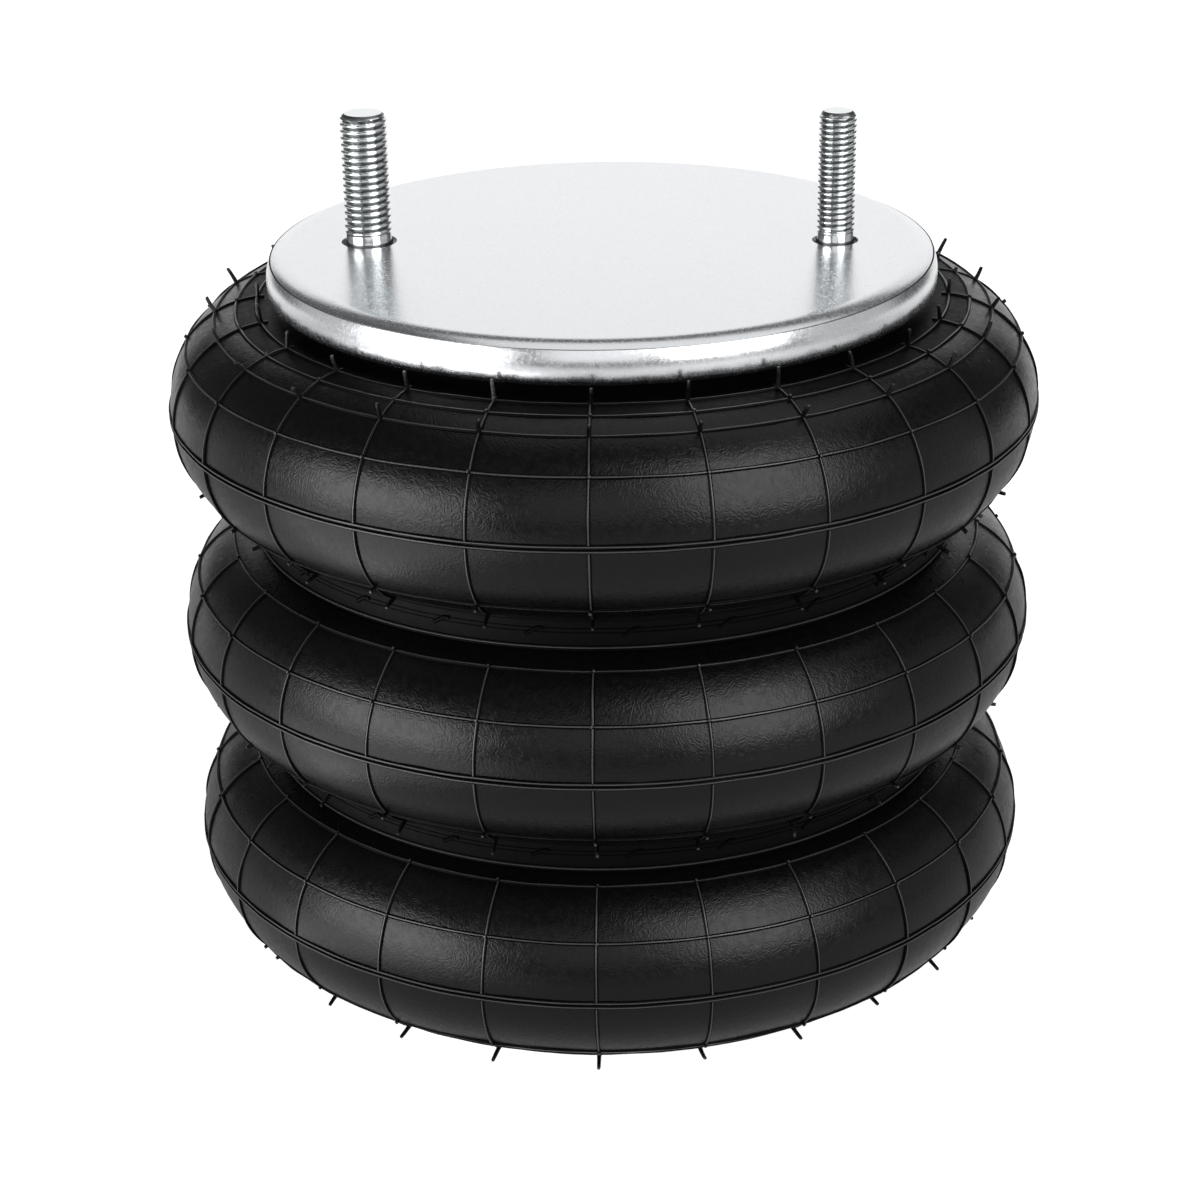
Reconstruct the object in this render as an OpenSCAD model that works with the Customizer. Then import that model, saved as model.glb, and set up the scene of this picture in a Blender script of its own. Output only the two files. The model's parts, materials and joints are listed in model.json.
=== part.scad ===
// Triple-convolution air bellows actuator with crimped bead plates.
// Millimetres. +Z runs up the stroke, +X along the line of the studs.
// The origin is the centre of the lower mounting face.

/* [Mounting] */
// Distance between the stud axes, and between the blind nut axes below them
stud_spacing = 157.5; // [145:0.5:175]
// Distance from a stud's axis out to the edge of the bead plate
rim_margin = 34.4; // [30:0.1:45]
// Height of the studs above the upper mounting face
stud_height = 44; // [30:1:60]
// Major diameter of the large stud
large_stud_d = 15.9; // [12:0.1:20]
// Major diameter of the small stud
small_stud_d = 12.7; // [10:0.1:16]
// Height of the plain neck that a stud shows above the mounting face
stud_neck_h = 3; // [2:0.5:8]
// Radial gap between a stud's neck and its hole in the plate
stud_hole_gap = 1.7; // [0.5:0.1:2]
// Thickness of the stud's welded head inside the plate
stud_head_t = 3.5; // [2:0.5:6]
// How far the stud's head reaches past the thread
stud_head_lap = 5; // [3.5:0.5:7]

/* [Bead plates] */
// Sheet thickness of the bead plates
plate_t = 3; // [2:0.1:4]
// Radius of the rolled edge that grips the bead
roll_r = 5.2; // [4:0.1:6]
// Metal thickness of the rolled edge at its widest
roll_t = 3.2; // [2:0.1:4]
// Radius of the rolled edge above its widest part
edge_r = 3; // [2:0.1:4]
// Width of the shallow shoulder between the flat face and the crease
shoulder_w = 6.2; // [4:0.1:9]
// How far the shoulder falls to the crease
shoulder_drop = 1.8; // [1.2:0.1:2.2]
// How far the crease stands inside the rolled edge
crease_step = 1.85; // [1.5:0.05:2.5]
// Thickness of the lip that is turned in under the bead
lip_t = 2.4; // [1.5:0.1:3.5]
// Open gap between the lip and the rubber below it
lip_gap = 3.8; // [2:0.1:6]

/* [Beads] */
// Height of the bead between the plate and the lip
bead_h = 7.9; // [6:0.1:10]
// Radial width of the bead
bead_w = 10; // [8.5:0.1:14]
// Corner radius of the bead inside the rolled edge
bead_round = 2.4; // [1:0.1:3]
// Diameter of one bead wire
bead_wire_d = 1.4; // [1:0.1:1.7]

/* [Bellows] */
// Outer radius of a convolution's round section
tube_r = 34; // [28:0.5:42]
// Half of the open gap between two convolutions at the waist
waist_gap = 5.3; // [4:0.1:7]
// Flat run of the wall between the bead plate's lip and the end convolutions
shoulder_run = 2.6; // [1:0.1:10]
// Radius of the haunch where the lowest convolution hangs over its plate
haunch_r = 16; // [13:0.5:20]
// Angle under the equator at which the haunch begins
haunch_angle = 52; // [48:1:58]
// Slope of the wall from the haunch up and in to the neck
tuck_angle = 25; // [15:1:28]
// Thickness of the outer rubber cover
cover_t = 2.1; // [1.5:0.1:3]
// Thickness of one ply of cord fabric
ply_t = 0.8; // [0.5:0.1:1.2]
// Thickness of the inner rubber liner
liner_t = 1.1; // [0.8:0.1:2]
// Height of the raised mould lines
mould_line_r = 0.7; // [0.4:0.1:1]

/* [Girdles] */
// How far a girdle stands out from the middle of the groove
girdle_proud = 7.5; // [5:0.5:12]
// Diameter of the steel hoop inside a girdle
hoop_d = 5; // [3:0.5:6]
// Radius of the raised line along each edge of a girdle
girdle_edge_r = 0.6; // [0.3:0.1:1]

/* [Lower fittings] */
// Bore of the blind nuts in the lower plate
nut_bore_d = 9.5; // [6:0.5:12]
// Wall of a blind nut round its bore
nut_wall = 4; // [3:0.5:6]
// Depth of a blind nut's bore
nut_bore_depth = 16; // [12:1:20]
// Bore of the air inlet
inlet_bore_d = 11.4; // [8:0.1:18]
// Wall of the air inlet bush round its bore
inlet_wall = 5; // [3:0.5:8]
// Length of the air inlet's bore
inlet_length = 15; // [10:1:20]
// How far the fittings' flanges reach past their bodies
fitting_flange_lap = 4; // [2:0.5:6]
// Thickness of the fittings' flanges
fitting_flange_t = 3.5; // [2:0.5:5]

/* [Hidden] */
$fn = 96;
// Gap between pieces that are seated or bonded together
seat_gap = 0.1;
// Angle between the points along the rounded lower end of the lowest convolution
tuck_step = 5;
// Gap between the girdles and the convolutions beside them
girdle_gap = 0.3;
// Gap between the lip's edge and the wall that turns round it
lip_clearance = 0.3;
// How far the bead's toe stands inside the wall below it
bead_toe = 0.3;
// Bevel on stud tips, thread run-outs and bore mouths
bevel = 1.2;
thread_runout = 0.3;
// Flare of a stud's neck where it meets the head
neck_flare = 0.6;
// Angles of the raised mould lines round a convolution, from its equator
crown_line_angle = 1.3;
upper_line_angles = [-64, -43.5, 36, 59, 73, 85];
middle_line_angles = [-64, -43, 31.5, 62];
lower_line_angles = [-64, -43, 34, 66.5];

// Bead plate and bead, measured outwards from the axis and inwards from a mounting face
plate_r = stud_spacing / 2 + rim_margin;
bead_out_r = plate_r - roll_t;
bead_in_r = bead_out_r - bead_w;
bead_depth = plate_t + bead_h;
rim_h = bead_depth + lip_t;
crease_r = plate_r - crease_step;
flat_r = crease_r - shoulder_w;
shoulder_r = (shoulder_w * shoulder_w + shoulder_drop * shoulder_drop) / (2 * shoulder_drop);
edge_depth = shoulder_drop + sqrt(edge_r * edge_r - pow(edge_r - crease_step, 2));
bead_wire_pitch = bead_wire_d + seat_gap;
bundle_r = bead_wire_pitch + bead_wire_d / 2;

// Bellows wall, with each layer given by its depth under the outer surface
outer_ply_depth = cover_t + seat_gap;
inner_ply_depth = outer_ply_depth + ply_t + seat_gap;
liner_depth = inner_ply_depth + ply_t + seat_gap;
wall_t = liner_depth + liner_t;
end_turn = lip_t + lip_gap;
neck_r = bead_in_r + bead_toe + wall_t;
tube_centre_r = neck_r + end_turn + shoulder_run;
lip_in_r = neck_r + end_turn - sqrt(end_turn * end_turn - lip_t * lip_t) + lip_clearance;

// Run and turn of the wall at the upper bead and at a girdle
at_bead = [shoulder_run, end_turn];
at_waist = [0, waist_gap];

// Lower end of the lowest convolution, measured from its equator: haunch, sloping run and neck turn
haunch_shift = (tube_r - haunch_r) * [cos(haunch_angle), -sin(haunch_angle)];
haunch_centre = [tube_centre_r, 0] + haunch_shift;
tuck_run = (haunch_centre[0] - neck_r - end_turn - (haunch_r + end_turn) * sin(tuck_angle))
           / cos(tuck_angle);
tuck_drop = (haunch_r + end_turn) * cos(tuck_angle) - haunch_centre[1] - tuck_run * sin(tuck_angle);

// Heights up the stroke
lower_equator_z = ceil(100 * (bead_depth + tuck_drop)) / 100;
pitch = 2 * (tube_r + waist_gap);
middle_equator_z = lower_equator_z + pitch;
upper_equator_z = middle_equator_z + pitch;
lower_waist_z = lower_equator_z + pitch / 2;
upper_waist_z = middle_equator_z + pitch / 2;
rest_height = upper_equator_z + tube_r + end_turn + bead_depth;

zinc = [0.80, 0.82, 0.84];
bright_steel = [0.66, 0.68, 0.70];
rubber = [0.05, 0.05, 0.055];
liner_rubber = [0.12, 0.12, 0.13];
cord = [0.62, 0.56, 0.44];

// Turns a lower end's shape over to make the upper end's
module at_upper_end() {
    translate([0, 0, rest_height]) mirror([0, 0, 1]) children();
}

module at_stud(side) {
    translate([side * stud_spacing / 2, 0, 0]) children();
}

// Section of the bead: square on the inside, rounded where the plate is rolled over it
module bead_section(gap) {
    inner = bead_in_r;
    outer = bead_out_r - gap;
    low = plate_t + gap;
    high = bead_depth - gap;
    translate([inner, low]) square([outer - bead_round - inner, high - low]);
    translate([inner, low + bead_round]) square([outer - inner, high - low - 2 * bead_round]);
    for (z = [low + bead_round, high - bead_round])
        translate([outer - bead_round, z]) circle(bead_round);
}

// Stamped sheet with a shoulder, and an edge rolled over and in under the bead
module bead_plate() {
    roll_centre_r = plate_r - roll_r;
    rotate_extrude() difference() {
        union() {
            square([flat_r, plate_t]);
            intersection() {
                translate([flat_r, shoulder_r]) circle(shoulder_r);
                translate([flat_r, 0]) square([shoulder_w, plate_t + bead_round]);
            }
            hull() {
                translate([plate_r - edge_r, edge_depth]) circle(edge_r);
                translate([roll_centre_r, rim_h - roll_r]) circle(roll_r);
            }
            translate([lip_in_r, plate_t / 2]) square([roll_centre_r - lip_in_r, rim_h - plate_t / 2]);
        }
        translate([0, plate_t]) square([lip_in_r, rim_h]);
        bead_section(0);
    }
}

// Bead rubber, hollowed for its wire
module bead() {
    rotate_extrude() difference() {
        bead_section(seat_gap);
        translate([bead_in_r + bead_w / 2, plate_t + bead_h / 2]) circle(bundle_r + seat_gap);
    }
}

// Seven turns of wire, six laid round one
module bead_wire() {
    for (turn = [0:6])
        rotate_extrude()
            translate([bead_in_r + bead_w / 2, plate_t + bead_h / 2])
                translate(turn == 0 ? [0, 0] : bead_wire_pitch * [cos(60 * turn), sin(60 * turn)])
                    circle(d = bead_wire_d);
}

// Stud with a round welded head inside the plate, a plain neck and a bevelled tip
module stud(thread_d) {
    thread_r = thread_d / 2;
    plain_r = thread_r - thread_runout;
    head_r = thread_r + stud_head_lap;
    rotate_extrude() polygon([
        [0, -plate_t - stud_head_t],
        [head_r, -plate_t - stud_head_t],
        [head_r, -plate_t],
        [plain_r + neck_flare, -plate_t],
        [plain_r, neck_flare],
        [plain_r, stud_neck_h],
        [thread_r, stud_neck_h + thread_runout],
        [thread_r, stud_height - bevel],
        [thread_r - bevel, stud_height],
        [0, stud_height]
    ]);
}

// Band between two radii, from one angle to another
module arc_band(inner, outer, start, end) {
    middle = (start + end) / 2;
    intersection() {
        difference() {
            circle(outer);
            circle(inner);
        }
        polygon(concat([[0, 0]], [for (a = [start, middle, end]) 2 * outer * [cos(a), sin(a)]]));
    }
}

// Upper half of a wall layer: round the tube, along the run and through a quarter turn into the neck
module plain_half(from, to, run, turn) {
    translate([tube_centre_r, 0]) arc_band(tube_r - to, tube_r - from, 0, 90);
    if (run > 0)
        translate([tube_centre_r - run, tube_r - to]) square([run, to - from]);
    translate([tube_centre_r - run, tube_r + turn]) arc_band(turn + from, turn + to, 180, 270);
}

// Points round an arc, from its first angle to its last, without the first ones when asked
function arc_points(centre, r, start, end, skip) =
    let (steps = ceil(abs(end - start) / tuck_step))
    [for (i = [skip:steps]) centre + r * [cos(start + (end - start) * i / steps),
                                          sin(start + (end - start) * i / steps)]];

// Surface at a depth in the wall, from the equator round the haunch and up to the neck
function tucked_path(depth) = concat(
    arc_points([0, 0], tube_r - depth, 0, -haunch_angle, 0),
    arc_points(haunch_shift, haunch_r - depth, -haunch_angle, -90 - tuck_angle, 1),
    arc_points([-shoulder_run, -tuck_drop], end_turn + depth, 90 - tuck_angle, 180, 0)
);

// Lower half of a wall layer that hangs over the lower plate, then slopes up and in to the neck
module tucked_half(from, to) {
    outside = tucked_path(from);
    inside = tucked_path(to);
    translate([tube_centre_r, 0])
        polygon(concat(inside, [for (i = [len(outside) - 1:-1:0]) outside[i]]));
}

// Section of one layer of a convolution's wall, between two depths under the outer surface.
// An end that is given as "tucked" hangs over the lower plate.
module wall_section(from, to, below, above) {
    if (below == "tucked") tucked_half(from, to);
    else mirror([0, 1]) plain_half(from, to, below[0], below[1]);
    plain_half(from, to, above[0], above[1]);
}

module wall_layer(equator_z, from, to, below, above) {
    translate([0, 0, equator_z]) rotate_extrude() wall_section(from, to, below, above);
}

// Where a line lies on the tube, or on the haunch under it
function line_place(angle, tucked) =
    tucked && angle < -haunch_angle
    ? haunch_centre + haunch_r * [cos(angle), sin(angle)]
    : [tube_centre_r + tube_r * cos(angle), tube_r * sin(angle)];

// Outer cover with the raised lines that its mould leaves round the convolution
module cover_layer(equator_z, below, above, line_angles) {
    translate([0, 0, equator_z]) rotate_extrude() {
        wall_section(0, cover_t, below, above);
        for (angle = concat([-crown_line_angle, crown_line_angle], line_angles))
            translate(line_place(angle, below == "tucked")) circle(mould_line_r);
    }
}

module outer_ply_layer(equator_z, below, above) {
    wall_layer(equator_z, outer_ply_depth, outer_ply_depth + ply_t, below, above);
}

module inner_ply_layer(equator_z, below, above) {
    wall_layer(equator_z, inner_ply_depth, inner_ply_depth + ply_t, below, above);
}

module liner_layer(equator_z, below, above) {
    wall_layer(equator_z, liner_depth, wall_t, below, above);
}

// Rubber jacket that fills the groove between two convolutions
module girdle_jacket(waist_z) {
    root_r = waist_gap - girdle_gap;
    face_half_h = tube_r + waist_gap - sqrt(pow(tube_r + girdle_gap, 2) - pow(girdle_proud, 2));
    translate([0, 0, waist_z]) rotate_extrude() difference() {
        union() {
            translate([tube_centre_r, 0]) intersection() {
                circle(root_r);
                translate([-root_r, -root_r]) square([root_r, 2 * root_r]);
            }
            difference() {
                translate([tube_centre_r, -2 * face_half_h]) square([girdle_proud, 4 * face_half_h]);
                for (side = [-1, 1])
                    translate([tube_centre_r, side * (tube_r + waist_gap)]) circle(tube_r + girdle_gap);
            }
            for (side = [-1, 1])
                translate([tube_centre_r + girdle_proud, side * (face_half_h - 2 * girdle_edge_r)])
                    circle(girdle_edge_r);
        }
        translate([tube_centre_r, 0]) circle(hoop_d / 2 + seat_gap);
    }
}

module girdle_hoop(waist_z) {
    translate([0, 0, waist_z]) rotate_extrude() translate([tube_centre_r, 0]) circle(d = hoop_d);
}

// Closed nut with a spigot through the plate and a flange welded inside it
module blind_nut() {
    bore_r = nut_bore_d / 2;
    body_r = bore_r + nut_wall;
    flange_r = body_r + fitting_flange_lap;
    top = nut_bore_depth + nut_wall;
    rotate_extrude() polygon([
        [bore_r, 0],
        [body_r, 0],
        [body_r, plate_t],
        [flange_r, plate_t],
        [flange_r, plate_t + fitting_flange_t],
        [body_r, plate_t + fitting_flange_t],
        [body_r, top - bevel],
        [body_r - bevel, top],
        [0, top],
        [0, nut_bore_depth],
        [bore_r, nut_bore_depth]
    ]);
}

module upper_bead_plate() {
    color(zinc) at_upper_end() difference() {
        bead_plate();
        at_stud(-1) stud_hole(large_stud_d);
        at_stud(1) stud_hole(small_stud_d);
    }
}

module stud_hole(thread_d) {
    translate([0, 0, -plate_t]) cylinder(r = thread_d / 2 - thread_runout + stud_hole_gap, h = 3 * plate_t);
}

module upper_large_stud() {
    color(bright_steel) translate([0, 0, rest_height]) at_stud(-1) stud(large_stud_d);
}

module upper_small_stud() {
    color(bright_steel) translate([0, 0, rest_height]) at_stud(1) stud(small_stud_d);
}

module upper_bead() {
    color(rubber) at_upper_end() bead();
}

module upper_bead_wire() {
    color(bright_steel) at_upper_end() bead_wire();
}

module upper_cover() {
    color(rubber) cover_layer(upper_equator_z, at_waist, at_bead, upper_line_angles);
}

module upper_outer_ply() {
    color(cord) outer_ply_layer(upper_equator_z, at_waist, at_bead);
}

module upper_inner_ply() {
    color(cord) inner_ply_layer(upper_equator_z, at_waist, at_bead);
}

module upper_liner() {
    color(liner_rubber) liner_layer(upper_equator_z, at_waist, at_bead);
}

module upper_girdle_jacket() {
    color(rubber) girdle_jacket(upper_waist_z);
}

module upper_girdle_hoop() {
    color(bright_steel) girdle_hoop(upper_waist_z);
}

module middle_cover() {
    color(rubber) cover_layer(middle_equator_z, at_waist, at_waist, middle_line_angles);
}

module middle_outer_ply() {
    color(cord) outer_ply_layer(middle_equator_z, at_waist, at_waist);
}

module middle_inner_ply() {
    color(cord) inner_ply_layer(middle_equator_z, at_waist, at_waist);
}

module middle_liner() {
    color(liner_rubber) liner_layer(middle_equator_z, at_waist, at_waist);
}

module lower_girdle_jacket() {
    color(rubber) girdle_jacket(lower_waist_z);
}

module lower_girdle_hoop() {
    color(bright_steel) girdle_hoop(lower_waist_z);
}

module lower_cover() {
    color(rubber) cover_layer(lower_equator_z, "tucked", at_waist, lower_line_angles);
}

module lower_outer_ply() {
    color(cord) outer_ply_layer(lower_equator_z, "tucked", at_waist);
}

module lower_inner_ply() {
    color(cord) inner_ply_layer(lower_equator_z, "tucked", at_waist);
}

module lower_liner() {
    color(liner_rubber) liner_layer(lower_equator_z, "tucked", at_waist);
}

module lower_bead() {
    color(rubber) bead();
}

module lower_bead_wire() {
    color(bright_steel) bead_wire();
}

module lower_bead_plate() {
    color(zinc) difference() {
        bead_plate();
        for (side = [-1, 1])
            at_stud(side) fitting_hole(nut_bore_d / 2 + nut_wall);
        fitting_hole(inlet_bore_d / 2 + inlet_wall);
    }
}

module fitting_hole(spigot_r) {
    translate([0, 0, -plate_t]) cylinder(r = spigot_r + seat_gap, h = 3 * plate_t);
}

module left_blind_nut() {
    color(bright_steel) at_stud(-1) blind_nut();
}

module right_blind_nut() {
    color(bright_steel) at_stud(1) blind_nut();
}

// Threaded bush for the air line, open into the bellows
module air_inlet_bush() {
    bore_r = inlet_bore_d / 2;
    body_r = bore_r + inlet_wall;
    flange_r = body_r + fitting_flange_lap;
    color(bright_steel) rotate_extrude() polygon([
        [bore_r, 0],
        [body_r, 0],
        [body_r, plate_t],
        [flange_r, plate_t],
        [flange_r, plate_t + fitting_flange_t],
        [body_r, plate_t + fitting_flange_t],
        [body_r, inlet_length - bevel],
        [body_r - bevel, inlet_length],
        [bore_r, inlet_length]
    ]);
}

upper_bead_plate();
upper_large_stud();
upper_small_stud();
upper_bead();
upper_bead_wire();
upper_cover();
upper_outer_ply();
upper_inner_ply();
upper_liner();
upper_girdle_jacket();
upper_girdle_hoop();
middle_cover();
middle_outer_ply();
middle_inner_ply();
middle_liner();
lower_girdle_jacket();
lower_girdle_hoop();
lower_cover();
lower_outer_ply();
lower_inner_ply();
lower_liner();
lower_bead();
lower_bead_wire();
lower_bead_plate();
left_blind_nut();
right_blind_nut();
air_inlet_bush();
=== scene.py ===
# %% [markdown]
# # An air bellows actuator
# The solids of this actuator come measured and jointed: two zinc-plated bead plates, three rubber
# bulges called convolutions, and two girdle hoops in the waists between them. This lesson dresses
# them for a studio photograph. Each step says what the real piece is, how it could be made in
# Blender, and why one way was chosen.

# %% Load the measured model
import json
import math
import random

import bmesh
import bpy
from mathutils import Matrix, Vector, noise


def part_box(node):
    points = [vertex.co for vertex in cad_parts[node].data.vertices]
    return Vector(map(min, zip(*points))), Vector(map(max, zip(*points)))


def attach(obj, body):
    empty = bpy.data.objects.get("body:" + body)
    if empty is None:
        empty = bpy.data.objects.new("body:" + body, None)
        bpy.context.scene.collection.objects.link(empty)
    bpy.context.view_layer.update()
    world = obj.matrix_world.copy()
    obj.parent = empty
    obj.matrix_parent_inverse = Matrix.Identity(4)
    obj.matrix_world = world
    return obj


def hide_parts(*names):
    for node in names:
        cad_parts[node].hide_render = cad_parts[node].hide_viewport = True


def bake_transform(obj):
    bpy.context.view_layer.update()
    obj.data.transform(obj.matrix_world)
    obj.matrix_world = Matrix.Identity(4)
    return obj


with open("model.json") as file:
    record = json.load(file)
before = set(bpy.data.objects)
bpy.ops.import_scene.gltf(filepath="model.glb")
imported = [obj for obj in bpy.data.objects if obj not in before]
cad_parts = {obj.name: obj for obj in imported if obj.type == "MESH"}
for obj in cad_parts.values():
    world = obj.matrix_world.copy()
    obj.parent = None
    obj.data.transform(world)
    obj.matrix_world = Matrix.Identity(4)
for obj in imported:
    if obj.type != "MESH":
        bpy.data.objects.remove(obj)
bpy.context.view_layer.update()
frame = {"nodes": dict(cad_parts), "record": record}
record = frame["record"]

# %% [markdown]
# ## Sizes
# Heights and radii are read from the measured nodes, so the dressing always fits the model. A few
# section sizes, such as sheet thickness and corner radii, can't be read from a box, so they are
# written once in millimetres, here or where they are first needed.

# %% Sizes
MM = 0.001
mounts = {mount["name"]: mount for mount in record["mounts"]}

plate_low, plate_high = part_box("upper_bead_plate")
face_z = plate_high.z
plate_r = plate_high.x
rim_height = plate_high.z - plate_low.z

tube_r = 34 * MM
outer_ply_depth = 2.2 * MM
tube_centre_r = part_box("middle_outer_ply")[1].x + outer_ply_depth - tube_r

waist_turn = 5.3 * MM
bead_turn = 6.2 * MM
bead_run = 2.6 * MM
neck_r = tube_centre_r - bead_run - bead_turn
print(f"plate radius {plate_r / MM:.1f} mm, tube centre radius {tube_centre_r / MM:.1f} mm")

# %% [markdown]
# ## Mesh helpers
# Nearly everything here is turned or swept. A lathe turns a section round the Z axis, a sweep draws
# a thin round ridge along a path, a join puts many ridges into one mesh, and one function makes the
# Blender object with smooth shading and crisp corners. Blender's Screw modifier could do the turning
# too, but plain points let later steps add dents and threads while they turn.

# %% Mesh helpers
weld_distance = 1e-7
sharp_angle = math.radians(38)


def make_piece(name, points, faces, material, slot):
    mesh = bpy.data.meshes.new(name)
    mesh.from_pydata(points, [], faces)
    welded = bmesh.new()
    welded.from_mesh(mesh)
    bmesh.ops.remove_doubles(welded, verts=welded.verts, dist=weld_distance)
    welded.to_mesh(mesh)
    welded.free()
    mesh.polygons.foreach_set("use_smooth", [True] * len(mesh.polygons))
    mesh.set_sharp_from_angle(angle=sharp_angle)
    mesh.materials.append(material)
    piece = bpy.data.objects.new(name, mesh)
    bpy.context.scene.collection.objects.link(piece)
    return piece


def turn_grid(rows, columns, closed_rows):
    """Faces of a grid of points that closes round its columns, and along its rows if asked."""
    last = rows if closed_rows else rows - 1
    faces = []
    for column in range(columns):
        beside = (column + 1) % columns
        for row in range(last):
            above = (row + 1) % rows
            faces.append((column * rows + row, beside * rows + row,
                          beside * rows + above, column * rows + above))
    return faces


def lathe(section, segments):
    """Turns a closed section of (radius, height) points, listed counter-clockwise, round Z."""
    points = []
    for segment in range(segments):
        angle = math.tau * segment / segments
        points += [(r * math.cos(angle), r * math.sin(angle), z) for r, z in section]
    return points, turn_grid(len(section), segments, True)


def arc(centre, radius, start, end, steps):
    """Points of an arc in a section, with angles in degrees."""
    angles = [math.radians(start + (end - start) * step / steps) for step in range(steps + 1)]
    return [(centre[0] + radius * math.cos(a), centre[1] + radius * math.sin(a)) for a in angles]


def sweep(path, radii, closed, sides=6):
    """A round ridge along a path of (point, outward direction) pairs."""
    points = []
    count = len(path)
    for index, (point, outward) in enumerate(path):
        ahead = path[(index + 1) % count if closed else min(index + 1, count - 1)][0]
        behind = path[(index - 1) % count if closed else max(index - 1, 0)][0]
        across = (ahead - behind).cross(outward).normalized()
        radius = radii[index] if isinstance(radii, list) else radii
        for side in range(sides):
            turn = math.tau * (side + 0.5) / sides
            points.append(point + radius * (math.cos(turn) * outward + math.sin(turn) * across))
    faces = []
    for index in range(count if closed else count - 1):
        after = (index + 1) % count
        for side in range(sides):
            beside = (side + 1) % sides
            faces.append((index * sides + side, index * sides + beside,
                          after * sides + beside, after * sides + side))
    if not closed:
        faces.append(tuple(range(sides - 1, -1, -1)))
        faces.append(tuple((count - 1) * sides + side for side in range(sides)))
    return points, faces


def join(parts):
    """Many meshes' points and faces as one."""
    points, faces = [], []
    for more_points, more_faces in parts:
        shift = len(points)
        points += more_points
        faces += [tuple(index + shift for index in face) for face in more_faces]
    return points, faces


print("lathe, sweep and join are ready")

# %% [markdown]
# ## Finishes
# Every finish is a Principled shader fed by procedural textures in object space, so that its grain
# keeps one real size on every piece. Short helpers add what most of them share: a base colour that
# drifts between two tones, a roughness that drifts too, and a bump made from one or more layers of
# texture. A noise texture seldom leaves its middle range, so that range is spread over the full
# drift.

# %% Finish helpers
texture_low, texture_high = 0.3, 0.7


def new_finish(name):
    material = bpy.data.materials.new(name)
    material.use_nodes = True
    nodes, links = material.node_tree.nodes, material.node_tree.links
    shader = nodes["Principled BSDF"]
    place = nodes.new("ShaderNodeTexCoord")
    return material, nodes, links, shader, place.outputs["Object"]


def add_noise(nodes, links, place, scale, detail=4.0, distortion=0.0):
    texture = nodes.new("ShaderNodeTexNoise")
    texture.inputs["Scale"].default_value = scale
    texture.inputs["Detail"].default_value = detail
    texture.inputs["Distortion"].default_value = distortion
    links.new(place, texture.inputs["Vector"])
    return texture.outputs["Fac"]


def add_range(nodes, links, value, low, high):
    """Maps a texture's middle range onto two values."""
    mapped = nodes.new("ShaderNodeMapRange")
    mapped.inputs["From Min"].default_value = texture_low
    mapped.inputs["From Max"].default_value = texture_high
    mapped.inputs["To Min"].default_value = low
    mapped.inputs["To Max"].default_value = high
    links.new(value, mapped.inputs["Value"])
    return mapped.outputs["Result"]


def add_tones(nodes, links, value, dark, light):
    ramp = nodes.new("ShaderNodeValToRGB")
    ramp.color_ramp.elements[0].position = texture_low
    ramp.color_ramp.elements[0].color = (*dark, 1)
    ramp.color_ramp.elements[1].position = texture_high
    ramp.color_ramp.elements[1].color = (*light, 1)
    links.new(value, ramp.inputs["Fac"])
    return ramp.outputs["Color"]


def add_bump(nodes, links, height, strength, distance, under=None):
    bump = nodes.new("ShaderNodeBump")
    bump.inputs["Strength"].default_value = strength
    bump.inputs["Distance"].default_value = distance
    links.new(height, bump.inputs["Height"])
    if under is not None:
        links.new(under, bump.inputs["Normal"])
    return bump.outputs["Normal"]


print("finish helpers are ready")

# %% [markdown]
# ### Moulded rubber
# The bellows is vulcanised in a steel mould and comes out near black with a satin skin. Close up the
# skin is covered in fine short wrinkles about a millimetre apart that run every way, over a slower
# unevenness that breaks up the highlights. The sine of a strong noise follows the noise's contour
# lines, which gives curled wrinkles, and plain noise gives the rest. The crests of the raised mould
# lines get a paler, glossier finish than the skin, which is a painted highlight, and their flanks a
# dull black one, which is painted shade, so crests and flanks get finishes of their own.

# %% Rubber finishes
drift_scale, dust_scale, wrinkle_scale = 28, 420, 320
drift_depth, dust_depth, wrinkle_depth = 0.4 * MM, 0.10 * MM, 0.05 * MM
contour_count = 42


def moulded_rubber(name, tone, roughness, wrinkle, shine=0.25):
    material, nodes, links, shader, place = new_finish(name)
    drift = add_noise(nodes, links, place, drift_scale, detail=5)
    dust = add_noise(nodes, links, place, dust_scale, detail=3)
    contours = nodes.new("ShaderNodeMath")
    contours.operation = "MULTIPLY"
    contours.inputs[1].default_value = contour_count
    links.new(add_noise(nodes, links, place, wrinkle_scale, detail=1), contours.inputs[0])
    whorls = nodes.new("ShaderNodeMath")
    whorls.operation = "SINE"
    links.new(contours.outputs["Value"], whorls.inputs[0])
    colour = add_tones(nodes, links, drift, [0.8 * c for c in tone], [1.25 * c for c in tone])
    links.new(colour, shader.inputs["Base Color"])
    rough = add_range(nodes, links, dust, roughness - 0.05, roughness + 0.06)
    links.new(rough, shader.inputs["Roughness"])
    skin = add_bump(nodes, links, whorls.outputs["Value"], wrinkle, wrinkle_depth)
    grain = add_bump(nodes, links, dust, 0.05, dust_depth, under=skin)
    uneven = add_bump(nodes, links, drift, 0.25, drift_depth, under=grain)
    links.new(uneven, shader.inputs["Normal"])
    shader.inputs["Specular IOR Level"].default_value = shine
    return material


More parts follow.
